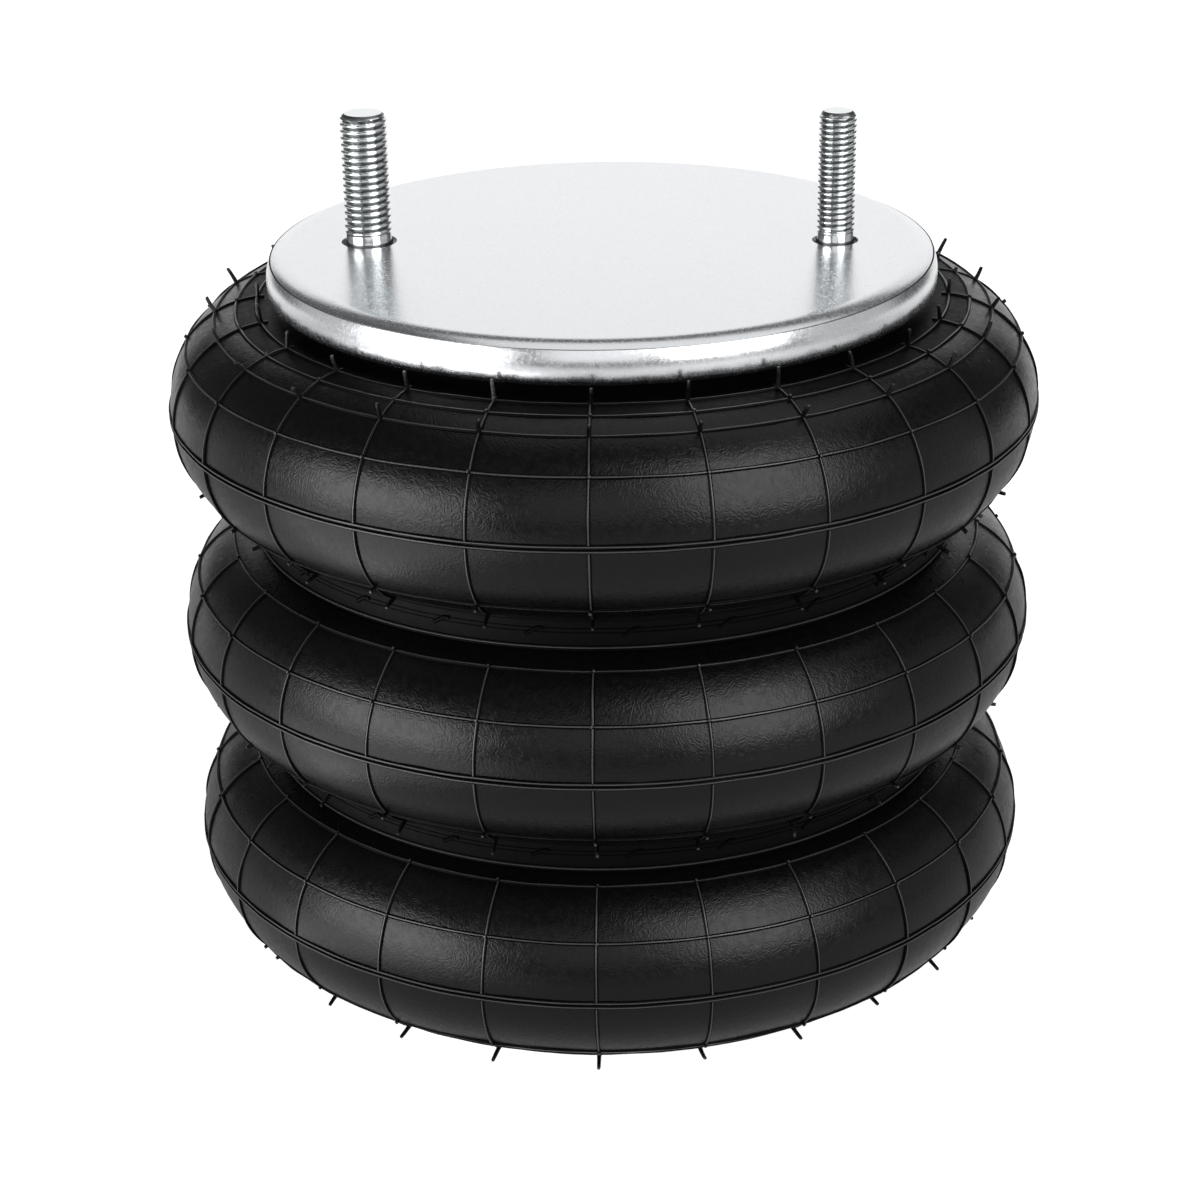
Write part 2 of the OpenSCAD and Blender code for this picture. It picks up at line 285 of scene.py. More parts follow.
bellows_rubber = moulded_rubber("bellows rubber", (0.0012, 0.0012, 0.0015), 0.30, 0.28)
# The pale, glossy rubber below is a painted highlight on mould line crests, whisker tips and the
# girdle's edge.
highlight_rubber = moulded_rubber("painted highlight rubber", (0.0300, 0.0300, 0.0310), 0.32, 0.05, shine=0.5)
# The dull black rubber below is painted shade on mould line flanks and under the plate's rim; it also
# covers the girdle's flash.
dull_shade_rubber = moulded_rubber("dull black painted shade", (0.0008, 0.0008, 0.0010), 0.45, 0.05, shine=0.05)
girdle_rubber = moulded_rubber("girdle rubber", (0.0005, 0.0005, 0.0006), 0.50, 0.15, shine=0.08)
bead_rubber = moulded_rubber("bead rubber", (0.0060, 0.0060, 0.0064), 0.55, 0.12)
liner_rubber = moulded_rubber("liner rubber", (0.0180, 0.0180, 0.0190), 0.38, 0.10)
rubbers = [bellows_rubber, highlight_rubber, dull_shade_rubber, girdle_rubber, bead_rubber, liner_rubber]
print("rubbers:", [rubber.name for rubber in rubbers])

# %% [markdown]
# ### Zinc plate and bright steel
# The bead plates are stamped from sheet and zinc plated, which leaves a cool, nearly white satin
# with a faint mottle of tiny crystals. Metal takes its look from what it reflects, so the shader is
# fully metallic and the textures only vary its tone and roughness a little and bend its reflections.
# The studs and fittings are the same zinc on turned steel, which is glossier.

# %% Metal finishes
cloud_scale = 35
crystal_depth, wave_depth = 0.05 * MM, 0.25 * MM


def plated_metal(name, tone, roughness, mottle_scale, mottle_depth):
    material, nodes, links, shader, place = new_finish(name)
    cloud = add_noise(nodes, links, place, cloud_scale, detail=4)
    mottle = add_noise(nodes, links, place, mottle_scale, detail=5, distortion=0.6)
    colour = add_tones(nodes, links, mottle, [0.92 * c for c in tone], tone)
    links.new(colour, shader.inputs["Base Color"])
    rough = add_range(nodes, links, mottle, roughness - 0.04, roughness + 0.05)
    links.new(rough, shader.inputs["Roughness"])
    crystals = add_bump(nodes, links, mottle, mottle_depth, crystal_depth)
    waves = add_bump(nodes, links, cloud, 0.12, wave_depth, under=crystals)
    links.new(waves, shader.inputs["Normal"])
    shader.inputs["Metallic"].default_value = 1.0
    return material


zinc_plate = plated_metal("satin zinc plate", (0.84, 0.855, 0.88), 0.24, 900, 0.30)
zinc_stud = plated_metal("bright zinc thread", (0.80, 0.825, 0.83), 0.17, 1400, 0.20)
# The dark zinc below is painted shade for the thread roots, the gap round the studs' necks and the
# plate's crease.
recess_shade = plated_metal("painted recess shade", (0.20, 0.21, 0.21), 0.35, 1400, 0.30)
fitting_steel = plated_metal("bright zinc fitting", (0.76, 0.78, 0.79), 0.22, 1200, 0.25)
hoop_steel = plated_metal("drawn steel hoop", (0.55, 0.56, 0.58), 0.35, 700, 0.40)
bead_wire = plated_metal("bronze coated wire", (0.62, 0.50, 0.36), 0.30, 1600, 0.30)
metals = [zinc_plate, zinc_stud, recess_shade, fitting_steel, hoop_steel, bead_wire]
print("metals:", [metal.name for metal in metals])

# %% [markdown]
# ### Cord fabric
# Two plies of rubberised cord lie inside the wall, each with its cords at a slant. They never show
# on a whole bellows, but the layers are real pieces and get a real finish: a wave texture across
# the slant draws the cords.

# %% Cord finish
cord_scale, cord_depth = 260, 0.3 * MM
cord_dark, cord_light = (0.10, 0.085, 0.06), (0.42, 0.36, 0.26)


def cord_fabric(name, slant):
    material, nodes, links, shader, place = new_finish(name)
    tilt = nodes.new("ShaderNodeMapping")
    tilt.inputs["Rotation"].default_value = (0, math.radians(slant), 0)
    links.new(place, tilt.inputs["Vector"])
    cords = nodes.new("ShaderNodeTexWave")
    cords.inputs["Scale"].default_value = cord_scale
    cords.inputs["Distortion"].default_value = 0.6
    links.new(tilt.outputs["Vector"], cords.inputs["Vector"])
    colour = add_tones(nodes, links, cords.outputs["Fac"], cord_dark, cord_light)
    links.new(colour, shader.inputs["Base Color"])
    ribs = add_bump(nodes, links, cords.outputs["Fac"], 0.6, cord_depth)
    links.new(ribs, shader.inputs["Normal"])
    shader.inputs["Roughness"].default_value = 0.8
    return material


cord_outer = cord_fabric("outer cord ply", 40)
cord_inner = cord_fabric("inner cord ply", -40)
print("cord plies:", cord_outer.name, cord_inner.name)

# %% [markdown]
# ## The bellows wall
# The real wall is one moulding, folded into three convolutions. When the actuator moves, the crown
# of each convolution stays midway between its two ends, so every convolution is made here as two
# halves that meet at the crown, and each half names the two bodies at its ends. A
# half starts at the crown, runs round the tube to its top, and turns into the neck that is held by
# a bead plate or a girdle. The lowest half is different: it hangs over the lower plate in a tighter
# haunch, then slopes up and in to its neck, which is why no metal shows under the bellows.

# %% Wall sections
tube_steps, turn_steps = 44, 12
low_tube_steps, haunch_steps, tuck_steps = 28, 20, 14
haunch_r, haunch_angle, tuck_angle = 16 * MM, 52, 25
haunch_out = tube_r - haunch_r
haunch_centre = (tube_centre_r + haunch_out * math.cos(math.radians(haunch_angle)),
                 haunch_out * math.sin(math.radians(haunch_angle)))
tuck_slope = math.radians(tuck_angle)
tuck_run = (haunch_centre[0] - neck_r - bead_turn
            - (haunch_r + bead_turn) * math.sin(tuck_slope)) / math.cos(tuck_slope)
tuck_rise = ((haunch_r + bead_turn) * math.cos(tuck_slope) + haunch_centre[1]
             - tuck_run * math.sin(tuck_slope))


def plain_path(depth, run, turn):
    """One face of a half wall, from the crown to the neck, as (radius, distance from the crown)."""
    over_tube = arc((tube_centre_r, 0), tube_r - depth, 0, 90, tube_steps)
    neck_turn = arc((tube_centre_r - run, tube_r + turn), turn + depth, -90, -180, turn_steps)
    return over_tube + (neck_turn if run > 0 else neck_turn[1:])


def tucked_path(depth):
    """The same for the half that hangs over the lower plate."""
    over_tube = arc((tube_centre_r, 0), tube_r - depth, 0, haunch_angle, low_tube_steps)
    haunch = arc(haunch_centre, haunch_r - depth, haunch_angle, 90 + tuck_angle, haunch_steps)
    neck_turn = arc((neck_r + bead_turn, tuck_rise), bead_turn + depth, -90 + tuck_angle, -180,
                    tuck_steps)
    return over_tube + haunch[1:] + neck_turn


def half_section(face, depth, thickness, upper):
    """A closed section between two faces of a half wall, each drawn at its depth under the cover."""
    section = face(depth) + face(depth + thickness)[::-1]
    if upper:
        return section
    return [(r, -z) for r, z in section[::-1]]


print(f"the lowest half is {tuck_rise / MM:.1f} mm high")
print(f"the others are up to {(tube_r + bead_turn) / MM:.1f} mm high")

# %% [markdown]
# Each half is a record of where it is and what moves it. A loop over the three convolutions makes
# all six, so that walls, mould lines and whiskers can share them.

# %% The six halves
halves = []
body_chain = ["lower_plate", "lower_convolution", "lower_girdle", "middle_convolution",
              "upper_girdle", "upper_convolution", "upper_plate"]
for index, level in enumerate(["lower", "middle", "upper"]):
    low_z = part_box(f"{level}_cover")[0].z
    high_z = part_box(f"{level}_cover")[1].z
    crown_z = low_z + (tuck_rise if level == "lower" else tube_r + waist_turn)
    halves.append({"level": level, "name": f"{level}_low", "upper": False, "crown_z": crown_z,
                   "end_z": low_z, "bodies": body_chain[2 * index:2 * index + 2]})
    halves.append({"level": level, "name": f"{level}_high", "upper": True, "crown_z": crown_z,
                   "end_z": high_z, "bodies": body_chain[2 * index + 1:2 * index + 3]})


def face_path(half):
    """The function that draws one face of this half's wall at a given depth."""
    if half["name"] == "lower_low":
        return tucked_path
    if half["name"] == "upper_high":
        return lambda depth: plain_path(depth, bead_run, bead_turn)
    return lambda depth: plain_path(depth, 0, waist_turn)


def bend_with(piece):
    """Bakes the piece's transform into its points; nothing here makes it follow the bodies."""
    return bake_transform(piece)


print("crown heights in mm:", {half["name"]: round(half["crown_z"] / MM, 1) for half in halves})

# %% [markdown]
# The rubber of the real cover is never quite true: the panels between its mould lines swell and
# sink by a tenth or two of a millimetre, which is what makes the highlights wander. The cover's
# points are moved by smooth noise, along the direction out of the tube. The noise depends only on
# place, so the two halves still meet at the crown. Under the upper plate's rim, the cover's faces
# inside the last mould ring but one get the dull black flank finish as painted shade, so they don't
# mirror the bright rim.

# %% Walls
swell, swell_scale = 0.16 * MM, 45
fade_width = 10 * MM


def uneven_cover(points, half):
    moved = []
    for x, y, z in points:
        around = math.hypot(x, y)
        out = Vector((around - tube_centre_r, z - half["crown_z"]))
        if out.x <= 0:
            moved.append((x, y, z))
            continue
        fade = min(1.0, out.x / fade_width)
        push = swell * fade * noise.noise(Vector((x, y, z)) * swell_scale)
        out.normalize()
        stretch = (around + push * out.x) / around
        moved.append((x * stretch, y * stretch, z + push * out.y))
    return moved


shade_from = 73
cover_depth, inner_ply_depth, liner_depth = 0, 3.1 * MM, 4.0 * MM
cover_t, ply_t, liner_t = 2.1 * MM, 0.8 * MM, 1.1 * MM
layers = [
    ("cover", cover_depth, cover_t, bellows_rubber, "bellows_rubber", 288),
    ("outer_ply", outer_ply_depth, ply_t, cord_outer, "cord_ply", 120),
    ("inner_ply", inner_ply_depth, ply_t, cord_inner, "cord_ply", 120),
    ("liner", liner_depth, liner_t, liner_rubber, "liner_rubber", 120),
]
for half in halves:
    for layer, depth, thickness, material, slot, segments in layers:
        section = half_section(face_path(half), depth, thickness, half["upper"])
        points, faces = lathe([(r, z + half["crown_z"]) for r, z in section], segments)
        if layer == "cover":
            points = uneven_cover(points, half)
        wall = make_piece(f"{half['name']}_{layer}", points, faces, material, slot)
        # Painted shade: the cover's faces under the plate's rim get the dull black rubber.
        if wall.name == "upper_high_cover":
            wall.data.materials.append(dull_shade_rubber)
            for face in wall.data.polygons:
                out = math.hypot(face.center.x, face.center.y) - tube_centre_r
                if out < tube_r * math.cos(math.radians(shade_from)):
                    face.material_index = 1
        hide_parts(f"{half['level']}_{layer}")
        bend_with(wall)
print("walls:", len(halves) * len(layers), "pieces")

# %% [markdown]
# ## Mould lines
# The mould is split into many small blocks, and rubber creeps into every joint and leaves a fine
# raised line. Rings run round each convolution, meridians run over it, and the crown carries a
# double line where the mould's halves meet. A bump texture would vanish at the outline, so the
# lines are swept as thin ridges, half sunk into the cover, with a little waver in their path and
# thickness. The faces along the top of each ridge get the pale finish, a painted highlight, and the
# rest the dull black one, painted shade, which draws every line as it shows on the real rubber,
# light with a dark edge on either side. The waver uses Blender's vector noise, which starts from the
# clock unless it is given a seed.

# %% Mould line places
meridians = 25
meridian_start = math.radians(-89.5)
line_r = 0.68 * MM
line_r_change, line_r_scale = 0.22, 140
waver, waver_scale, waver_seed = 0.18 * MM, 70, 7
noise.seed_set(waver_seed)
crown_line_angle = 1.3
rings = {"upper_high": [36, 59, 73, 85], "upper_low": [-43.5, -64], "middle_high": [31.5, 62],
         "middle_low": [-43, -64], "lower_high": [34, 66.5], "lower_low": [-43, -64]}
meridian_ends = {"upper_high": 89, "middle_high": 62, "lower_high": 66.5, "lower_low": -100}


def on_cover(half, around, over):
    """Point and outward direction on a half: angle round the axis, angle over the tube."""
    outward = Vector((math.cos(around) * math.cos(over), math.sin(around) * math.cos(over),
                      math.sin(over)))
    centre_r, centre_z, radius = tube_centre_r, half["crown_z"], tube_r
    if half["name"] == "lower_low" and over < -math.radians(haunch_angle):
        centre_r, centre_z, radius = haunch_centre[0], centre_z - haunch_centre[1], haunch_r
    centre = Vector((centre_r * math.cos(around), centre_r * math.sin(around), centre_z))
    return centre + radius * outward, outward


def wavering(path):
    """Shifts a line's points by a fraction of its own width."""
    return [(point + waver * noise.noise_vector(point * waver_scale), outward)
            for point, outward in path]


def thickness_along(path):
    return [line_r * (1 + line_r_change * noise.noise(point * line_r_scale))
            for point, outward in path]


print("rings on each half, in degrees over the tube:", rings)

# %% [markdown]
# All the lines of one half are swept and joined into one piece. A face counts as crest where it
# looks nearly straight out of the tube.

# %% Sweep the mould lines
ring_steps, meridian_steps, line_sides = 250, 22, 10
meridian_from, usual_meridian_end = 2.2, 76
crest_facing = 0.88


def paint_crest_highlights(lines, half):
    """Paints a highlight: gives the pale finish to the faces of a ridge that look straight out of the
    tube.
    """
    lines.data.materials.append(highlight_rubber)
    for face in lines.data.polygons:
        around = math.atan2(face.center.y, face.center.x)
        over = math.atan2(face.center.z - half["crown_z"],
                          math.hypot(face.center.x, face.center.y) - tube_centre_r)
        outward = on_cover(half, around, over)[1]
        if face.normal.dot(outward) > crest_facing:
            face.material_index = 1


for half in halves:
    sweeps = []
    sign = 1 if half["upper"] else -1
    for degrees in [sign * crown_line_angle] + rings[half["name"]]:
        over = math.radians(degrees)
        ring = [on_cover(half, math.tau * step / ring_steps, over) for step in range(ring_steps)]
        path = wavering(ring)
        sweeps.append(sweep(path, thickness_along(path), closed=True, sides=line_sides))
    start = math.radians(sign * meridian_from)
    end = math.radians(meridian_ends.get(half["name"], sign * usual_meridian_end))
    for line in range(meridians):
        around = meridian_start + math.tau * line / meridians
        overs = [start + (end - start) * step / meridian_steps for step in range(meridian_steps + 1)]
        path = wavering([on_cover(half, around, over) for over in overs])
        sweeps.append(sweep(path, thickness_along(path), closed=False, sides=line_sides))
    # Painted shade and highlight: each ridge is dull black, with pale crests.
    lines = make_piece(f"{half['name']}_mould_lines", *join(sweeps), dull_shade_rubber, "bellows_rubber")
    paint_crest_highlights(lines, half)
    bend_with(lines)
print("mould lines on", len(halves), "halves,", meridians, "meridians each")

# %% [markdown]
# ## Vent whiskers
# Air leaves the mould through pin holes where its lines cross, and the rubber that follows it out
# stays on as short whiskers. Long ones stand on two of the top rings and on the last ring of every
# underside, short ones stand on the ring before that on the upper two bulges, and small knots mark
# the other crossings. Each is a tapered sweep that leans and bends by its own random amount. On the
# undersides the mould combs them outward as it opens, so they point less downward than the surface
# they grow from. They are black, with a painted highlight on the pale cap at the tip.

# %% Whiskers
whisker_draw = random.Random(11)
long_whisker, short_whisker, knot = 6.4 * MM, 3.4 * MM, 1.9 * MM
whisker_lengths = {"upper_high": [knot, long_whisker, knot, long_whisker],
                   "upper_low": [short_whisker, long_whisker], "middle_high": [knot, knot],
                   "middle_low": [short_whisker, long_whisker], "lower_high": [knot, knot],
                   "lower_low": [knot, long_whisker]}
whisker_taper = [(0, 0.90), (0.25, 0.76), (0.5, 0.70), (0.75, 0.66), (0.94, 0.62), (1.0, 0.42)]
whisker_sides, whisker_sink = 7, 0.4 * MM
lean_share, curl_share = 0.15, 0.10
combed_share = 0.4


def whisker(root, outward, length):
    lean = Vector([whisker_draw.uniform(-1, 1) for axis in range(3)])
    aim = (outward + lean_share * lean).normalized()
    curl = curl_share * length * Vector([whisker_draw.uniform(-1, 1) for axis in range(3)])
    side = aim.orthogonal().normalized()
    path, radii = [], []
    for share, radius in whisker_taper:
        path.append((root + (length * share - whisker_sink) * aim + curl * share * share, side))
        radii.append(radius * MM)
    return sweep(path, radii, closed=False, sides=whisker_sides)


for half in halves:
    sprouts = []
    for degrees, usual in zip(rings[half["name"]], whisker_lengths[half["name"]]):
        for line in range(meridians):
            around = meridian_start + math.tau * line / meridians
            root, outward = on_cover(half, around, math.radians(degrees))
            if degrees < 0:
                outward = on_cover(half, around, math.radians(combed_share * degrees))[1]
            length = usual * whisker_draw.uniform(0.8, 1.1)
            sprouts.append(whisker(root, outward, length))
    whiskers = make_piece(f"{half['name']}_whiskers", *join(sprouts), bellows_rubber, "bellows_rubber")
    # Painted highlight: the cap at each whisker's tip gets the pale rubber.
    whiskers.data.materials.append(highlight_rubber)
    faces_each = len(sprouts[0][1])
    for sprout in range(len(sprouts)):
        whiskers.data.polygons[(sprout + 1) * faces_each - 1].material_index = 1
    bend_with(whiskers)
print("whiskers sprouted on", len(halves), "halves")

# %% [markdown]
# ## Girdle hoops
# A girdle keeps the waist from swelling: a steel hoop inside a rubber jacket. The jacket's solid
# has the right shape and keeps it, so it only needs its finish. The lines and the short slanting
# tabs of flash that its own mould left on the face are swept on as one more piece, with a pale ring
# along the lower edge where the light catches it.

# %% Girdles
flash_steps, flash_r = 300, 0.25 * MM
tab_r, tab_turn, tab_shift = 0.75 * MM, 0.045, 0.3
upper_line, lower_line = 1.6 * MM, 0.2 * MM
edge_inset, edge_rise = 0.1 * MM, 1.2 * MM

for level in ["lower", "upper"]:
    jacket = frame["nodes"][f"{level}_girdle_jacket"]
    hoop = frame["nodes"][f"{level}_girdle_hoop"]
    jacket.data.materials.clear()
    jacket.data.materials.append(girdle_rubber)
    hoop.data.materials.clear()
    hoop.data.materials.append(hoop_steel)
    low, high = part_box(f"{level}_girdle_jacket")
    waist_z = (low.z + high.z) / 2
    face_r = high.x - 0.6 * MM
    sweeps = []
    for radius, height in [(high.x - edge_inset, low.z + edge_rise), (face_r, waist_z + upper_line),
                           (face_r, waist_z + lower_line)]:
        path = []
        for step in range(flash_steps):
            around = math.tau * step / flash_steps
            outward = Vector((math.cos(around), math.sin(around), 0))
            path.append((radius * outward + Vector((0, 0, height)), outward))
        sweeps.append(sweep(path, flash_r, closed=True))
    for tab in range(meridians):
        around = meridian_start + math.tau * (tab + tab_shift) / meridians
        path = []
        for share in [0, 0.35, 0.7, 1.0]:
            turned = around + tab_turn * share
            outward = Vector((math.cos(turned), math.sin(turned), 0))
            rise = waist_z + (1.6 - 3.6 * max(0.0, 0.65 - share)) * MM
            path.append((face_r * outward + Vector((0, 0, rise)), outward))
        sweeps.append(sweep(path, tab_r, closed=False))
    flash = make_piece(f"{level}_girdle_flash", *join(sweeps), dull_shade_rubber, "girdle_rubber")
    # Painted highlight: the ring along the lower edge gets the pale rubber.
    flash.data.materials.append(highlight_rubber)
    for index in range(len(sweeps[0][1])):
        flash.data.polygons[index].material_index = 1
    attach(flash, f"{level}_girdle")
print("girdles dressed")

# %% [markdown]
# ## Bead plates
# Each plate starts as a flat disc. Its edge falls over a shallow shoulder to a fine crease, swells
# out in a roll round the bead, and is hemmed in under it, which leaves small dents along the hem.
# The section is turned like the wall, with the dents added to the turned points, and Boolean
# modifiers drill the holes, because drilling is what is done to the real disc.

# %% Bead plate section
sheet = 3 * MM
roll_t, roll_r, hem_start = 3.2 * MM, 16 * MM, 10
groove_w, groove_depth = 0.5 * MM, 0.7 * MM
shoulder_w, shoulder_drop, crease_step = 6.2 * MM, 1.8 * MM, 1.85 * MM
lip_t = 2.4 * MM
bead_round = 2.4 * MM
lip_in_r = neck_r + bead_turn - math.sqrt(bead_turn ** 2 - lip_t ** 2) + 0.3 * MM


def bead_plate_section():
    """Counter-clockwise section of a lower plate, with heights from its mounting face."""
    flat_r = plate_r - crease_step - shoulder_w
    shoulder_r = (shoulder_w ** 2 + shoulder_drop ** 2) / (2 * shoulder_drop)
    fall = math.degrees(math.asin(shoulder_w / shoulder_r))
    crease = (flat_r + shoulder_w, shoulder_drop)
    roll_start = math.degrees(math.acos(1 - (crease_step - groove_w) / roll_r))
    roll = (plate_r - roll_r, crease[1] + 0.15 * MM + roll_r * math.sin(math.radians(roll_start)))
    tuck = math.radians(hem_start)
    hem_r = (rim_height - roll[1] - roll_r * math.sin(tuck)) / (1 - math.sin(tuck))
    hem = (roll[0] + (roll_r - hem_r) * math.cos(tuck), roll[1] + (roll_r - hem_r) * math.sin(tuck))
    pocket_r = plate_r - roll_t - bead_round
    pocket_low, pocket_high = sheet + bead_round, rim_height - lip_t - bead_round
    section = [(0, 0)] + arc((flat_r, shoulder_r), shoulder_r, -90, fall - 90, 12)
    section += [(crease[0] + groove_w / 2, crease[1] + groove_depth)]
    section += arc(roll, roll_r, -roll_start, hem_start, 16)
    section += arc(hem, hem_r, hem_start, 90, 8)[1:]
    section += [(lip_in_r, rim_height), (lip_in_r, rim_height - lip_t)]
    section += arc((pocket_r, pocket_high), bead_round, 90, 0, 6)
    section += arc((pocket_r, pocket_low), bead_round, 0, -90, 6)
    return section + [(0, sheet)]


print("points in the plate's section:", len(bead_plate_section()))

# %% [markdown]
# The crimping dents sit only along the hem. Noise that runs fast along the edge and slowly across it
# makes them look pressed in by a tool with many jaws.

# %% Turn the plates
plate_segments = 320
hem_from, hem_span = 0.62, 0.3
dent_depth, dent_floor = 0.30 * MM, 0.05
jaws_along, jaws_across = 30, 60


def crimped(points):
    dented = []
    for x, y, z in points:
        around, radius = math.atan2(y, x), math.hypot(x, y)
        depth = max(0.0, min(1.0, (z - hem_from * rim_height) / (hem_span * rim_height)))
        if radius < lip_in_r - MM:
            depth = 0.0
        jaw = Vector((jaws_along * math.cos(around), jaws_along * math.sin(around), jaws_across * z))
        dent = dent_depth * depth * max(0.0, noise.noise(jaw) - dent_floor)
        slim = (radius - dent) / radius if radius > 0 else 1.0
        dented.append((x * slim, y * slim, z - dent))
    return dented


plate_points, plate_faces = lathe(bead_plate_section(), plate_segments)
plate_points = crimped(plate_points)
flipped_points = [(x, y, face_z - z) for x, y, z in plate_points]
flipped_faces = [face[::-1] for face in plate_faces]
upper_plate = make_piece("upper_plate_stamping", flipped_points, flipped_faces, zinc_plate, "zinc_plate")
lower_plate = make_piece("lower_plate_stamping", plate_points, plate_faces, zinc_plate, "zinc_plate")
print("plate faces:", len(upper_plate.data.polygons))

# %% [markdown]
# The stud holes are a little wider than the studs' necks, and the holes below just take the bodies
# of the nuts and the bush. Once the plates are drilled, the crease's faces get the same dark zinc as
# the roots of the studs' threads, which is painted shade.

# %% Drill for studs and fittings
bit_sides, bit_length = 96, 60 * MM
plate_sharp_angle = math.radians(24)


def drill(plate, bit_z, holes):
    """Cuts round holes through a plate: the bit's height, and (x, radius) for each hole."""
    for x, radius in holes:
        bpy.ops.mesh.primitive_cylinder_add(vertices=bit_sides, radius=radius, depth=bit_length,
                                            location=(x, 0, bit_z))
        bit = bpy.context.object
        cut = plate.modifiers.new("drill", "BOOLEAN")
        cut.object = bit
        cut.solver = "EXACT"
        drilled = bpy.data.meshes.new_from_object(
            plate.evaluated_get(bpy.context.evaluated_depsgraph_get()))
        plate.modifiers.clear()
        plate.data = drilled
        bpy.data.objects.remove(bit)
    plate.data.polygons.foreach_set("use_smooth", [True] * len(plate.data.polygons))
    plate.data.set_sharp_from_angle(angle=plate_sharp_angle)


stud_gap = 1.7 * MM
neck_step = 0.3 * MM
fitting_flange, fitting_gap = 4 * MM, 0.1 * MM
studs = {}
for size in ["large", "small"]:
    mount = mounts[f"upper_{size}_stud"]
    studs[size] = {"x": mount["pos_m"][0], "thread_r": mount["dims"]["r_mm"] * MM}
stud_holes = [(s["x"], s["thread_r"] - neck_step + stud_gap) for s in studs.values()]
drill(upper_plate, face_z, stud_holes)
fittings = []
for node in ["left_blind_nut", "right_blind_nut", "air_inlet_bush"]:
    low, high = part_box(node)
    fittings.append(((low.x + high.x) / 2, (high.x - low.x) / 2 - fitting_flange + fitting_gap))
drill(lower_plate, rim_height, fittings)
crease_r = plate_r - crease_step
for plate, level in [(upper_plate, "upper"), (lower_plate, "lower")]:
    mount_z = face_z if level == "upper" else 0
    plate.data.materials.append(recess_shade)
    # Painted shade: the faces in the crease get the dark zinc.
    for face in plate.data.polygons:
        out = math.hypot(face.center.x, face.center.y) - crease_r
        if 0 < out < groove_w and abs(face.center.z - mount_z) < sheet:
            face.material_index = 1
    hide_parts(f"{level}_bead_plate")
    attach(plate, f"{level}_plate")
print("drilled", len(studs), "stud holes and", len(fittings), "fitting holes")

# %% [markdown]
# ## Threaded studs
# The two studs are an inch-size pair: five eighths with eleven threads to the inch and one half with
# thirteen. A thread is a helix, so the radius of every point depends on its height and on the angle
# round the stud. Turning the stud row by row with that rule gives a true right-hand thread that
# starts at a bevelled tip and runs out into the plain neck. The faces in the roots and in the gap
# round the neck get dark zinc, which is painted shade, in place of the crests' bright finish.

# %% Stud threads
inch = 25.4 * MM
thread_pitch = {"large": inch / 11, "small": inch / 13}
stud_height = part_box("upper_large_stud")[1].z - face_z
stud_head_t, stud_head_lap = 3.5 * MM, 5 * MM
neck_height = 3 * MM
neck_flare = 0.6 * MM
tip_bevel = 1.6 * MM
thread_depth, crest_breadth = 0.55, 1.6
run_in_length = 0.8
rows_each_thread = 16


def thread_radius(height, around, major_r, pitch):
    """Radius on a rolled thread with a broad round crest and a narrow root."""
    turn = (height / pitch - around / math.tau) % 1.0
    depth = thread_depth * pitch * (0.5 - 0.5 * math.cos(math.tau * turn)) ** crest_breadth
    run_in = max(0.0, min(1.0, (height - neck_height) / (run_in_length * pitch)))
    plain_r = major_r - neck_step
    bevel_r = major_r - tip_bevel + max(0.0, stud_height - height)
    threaded = major_r - depth
    return min(plain_r + (threaded - plain_r) * run_in, bevel_r)


def stud_rows(major_r, pitch):
    """(height, fixed radius or None for a threaded row) from the head up to the tip."""
    head_r, plain_r = major_r + stud_head_lap, major_r - neck_step
    rows = [(-sheet - stud_head_t, 0), (-sheet - stud_head_t, head_r), (-sheet, head_r),
            (-sheet, plain_r + neck_flare), (neck_flare, plain_r), (neck_height, plain_r)]
    count = int((stud_height - neck_height) / pitch * rows_each_thread)
    for row in range(1, count + 1):
        rows.append((neck_height + (stud_height - neck_height) * row / count, None))
    return rows + [(stud_height, 0)]


print("thread pitch in mm:", {size: round(pitch / MM, 2) for size, pitch in thread_pitch.items()})

# %% [markdown]
# Each stud is turned as columns of points round its own axis, from the middle of the hidden head up
# to the middle of the tip, so the surface closes by itself.

# %% Turn the studs
stud_columns = 72
root_depth = 0.36
for size, stud in studs.items():
    rows = stud_rows(stud["thread_r"], thread_pitch[size])
    points = []
    for column in range(stud_columns):
        around = math.tau * column / stud_columns
        for height, radius in rows:
            if radius is None:
                radius = thread_radius(height, around, stud["thread_r"], thread_pitch[size])
            points.append((stud["x"] + radius * math.cos(around), radius * math.sin(around),
                           face_z + height))
    faces = turn_grid(len(rows), stud_columns, False)
    turned = make_piece(f"{size}_stud_threaded", points, faces, zinc_stud, "zinc_stud")
    turned.data.materials.append(recess_shade)
    root_r = stud["thread_r"] - root_depth * thread_pitch[size]
    # Painted shade: the thread roots and the faces below the plate's face get the dark zinc.
    for face in turned.data.polygons:
        out = math.hypot(face.center.x - stud["x"], face.center.y)
        height = face.center.z - face_z
        in_root = out < root_r and 0.1 * stud_height < height < stud_height - 1e-5
        if in_root or height < -0.2 * MM:
            face.material_index = 1
    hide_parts(f"upper_{size}_stud")
    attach(turned, "upper_plate")
    print(size, "stud:", round((stud_height - neck_height) / thread_pitch[size], 1), "threads")

# %% [markdown]
# ## Lower fittings and hidden pieces
# The blind nuts, the air inlet bush, the beads and their wires keep the shapes of their solids. They
# hardly show, but each gets its own finish, so that a view from below or a cut model looks right.

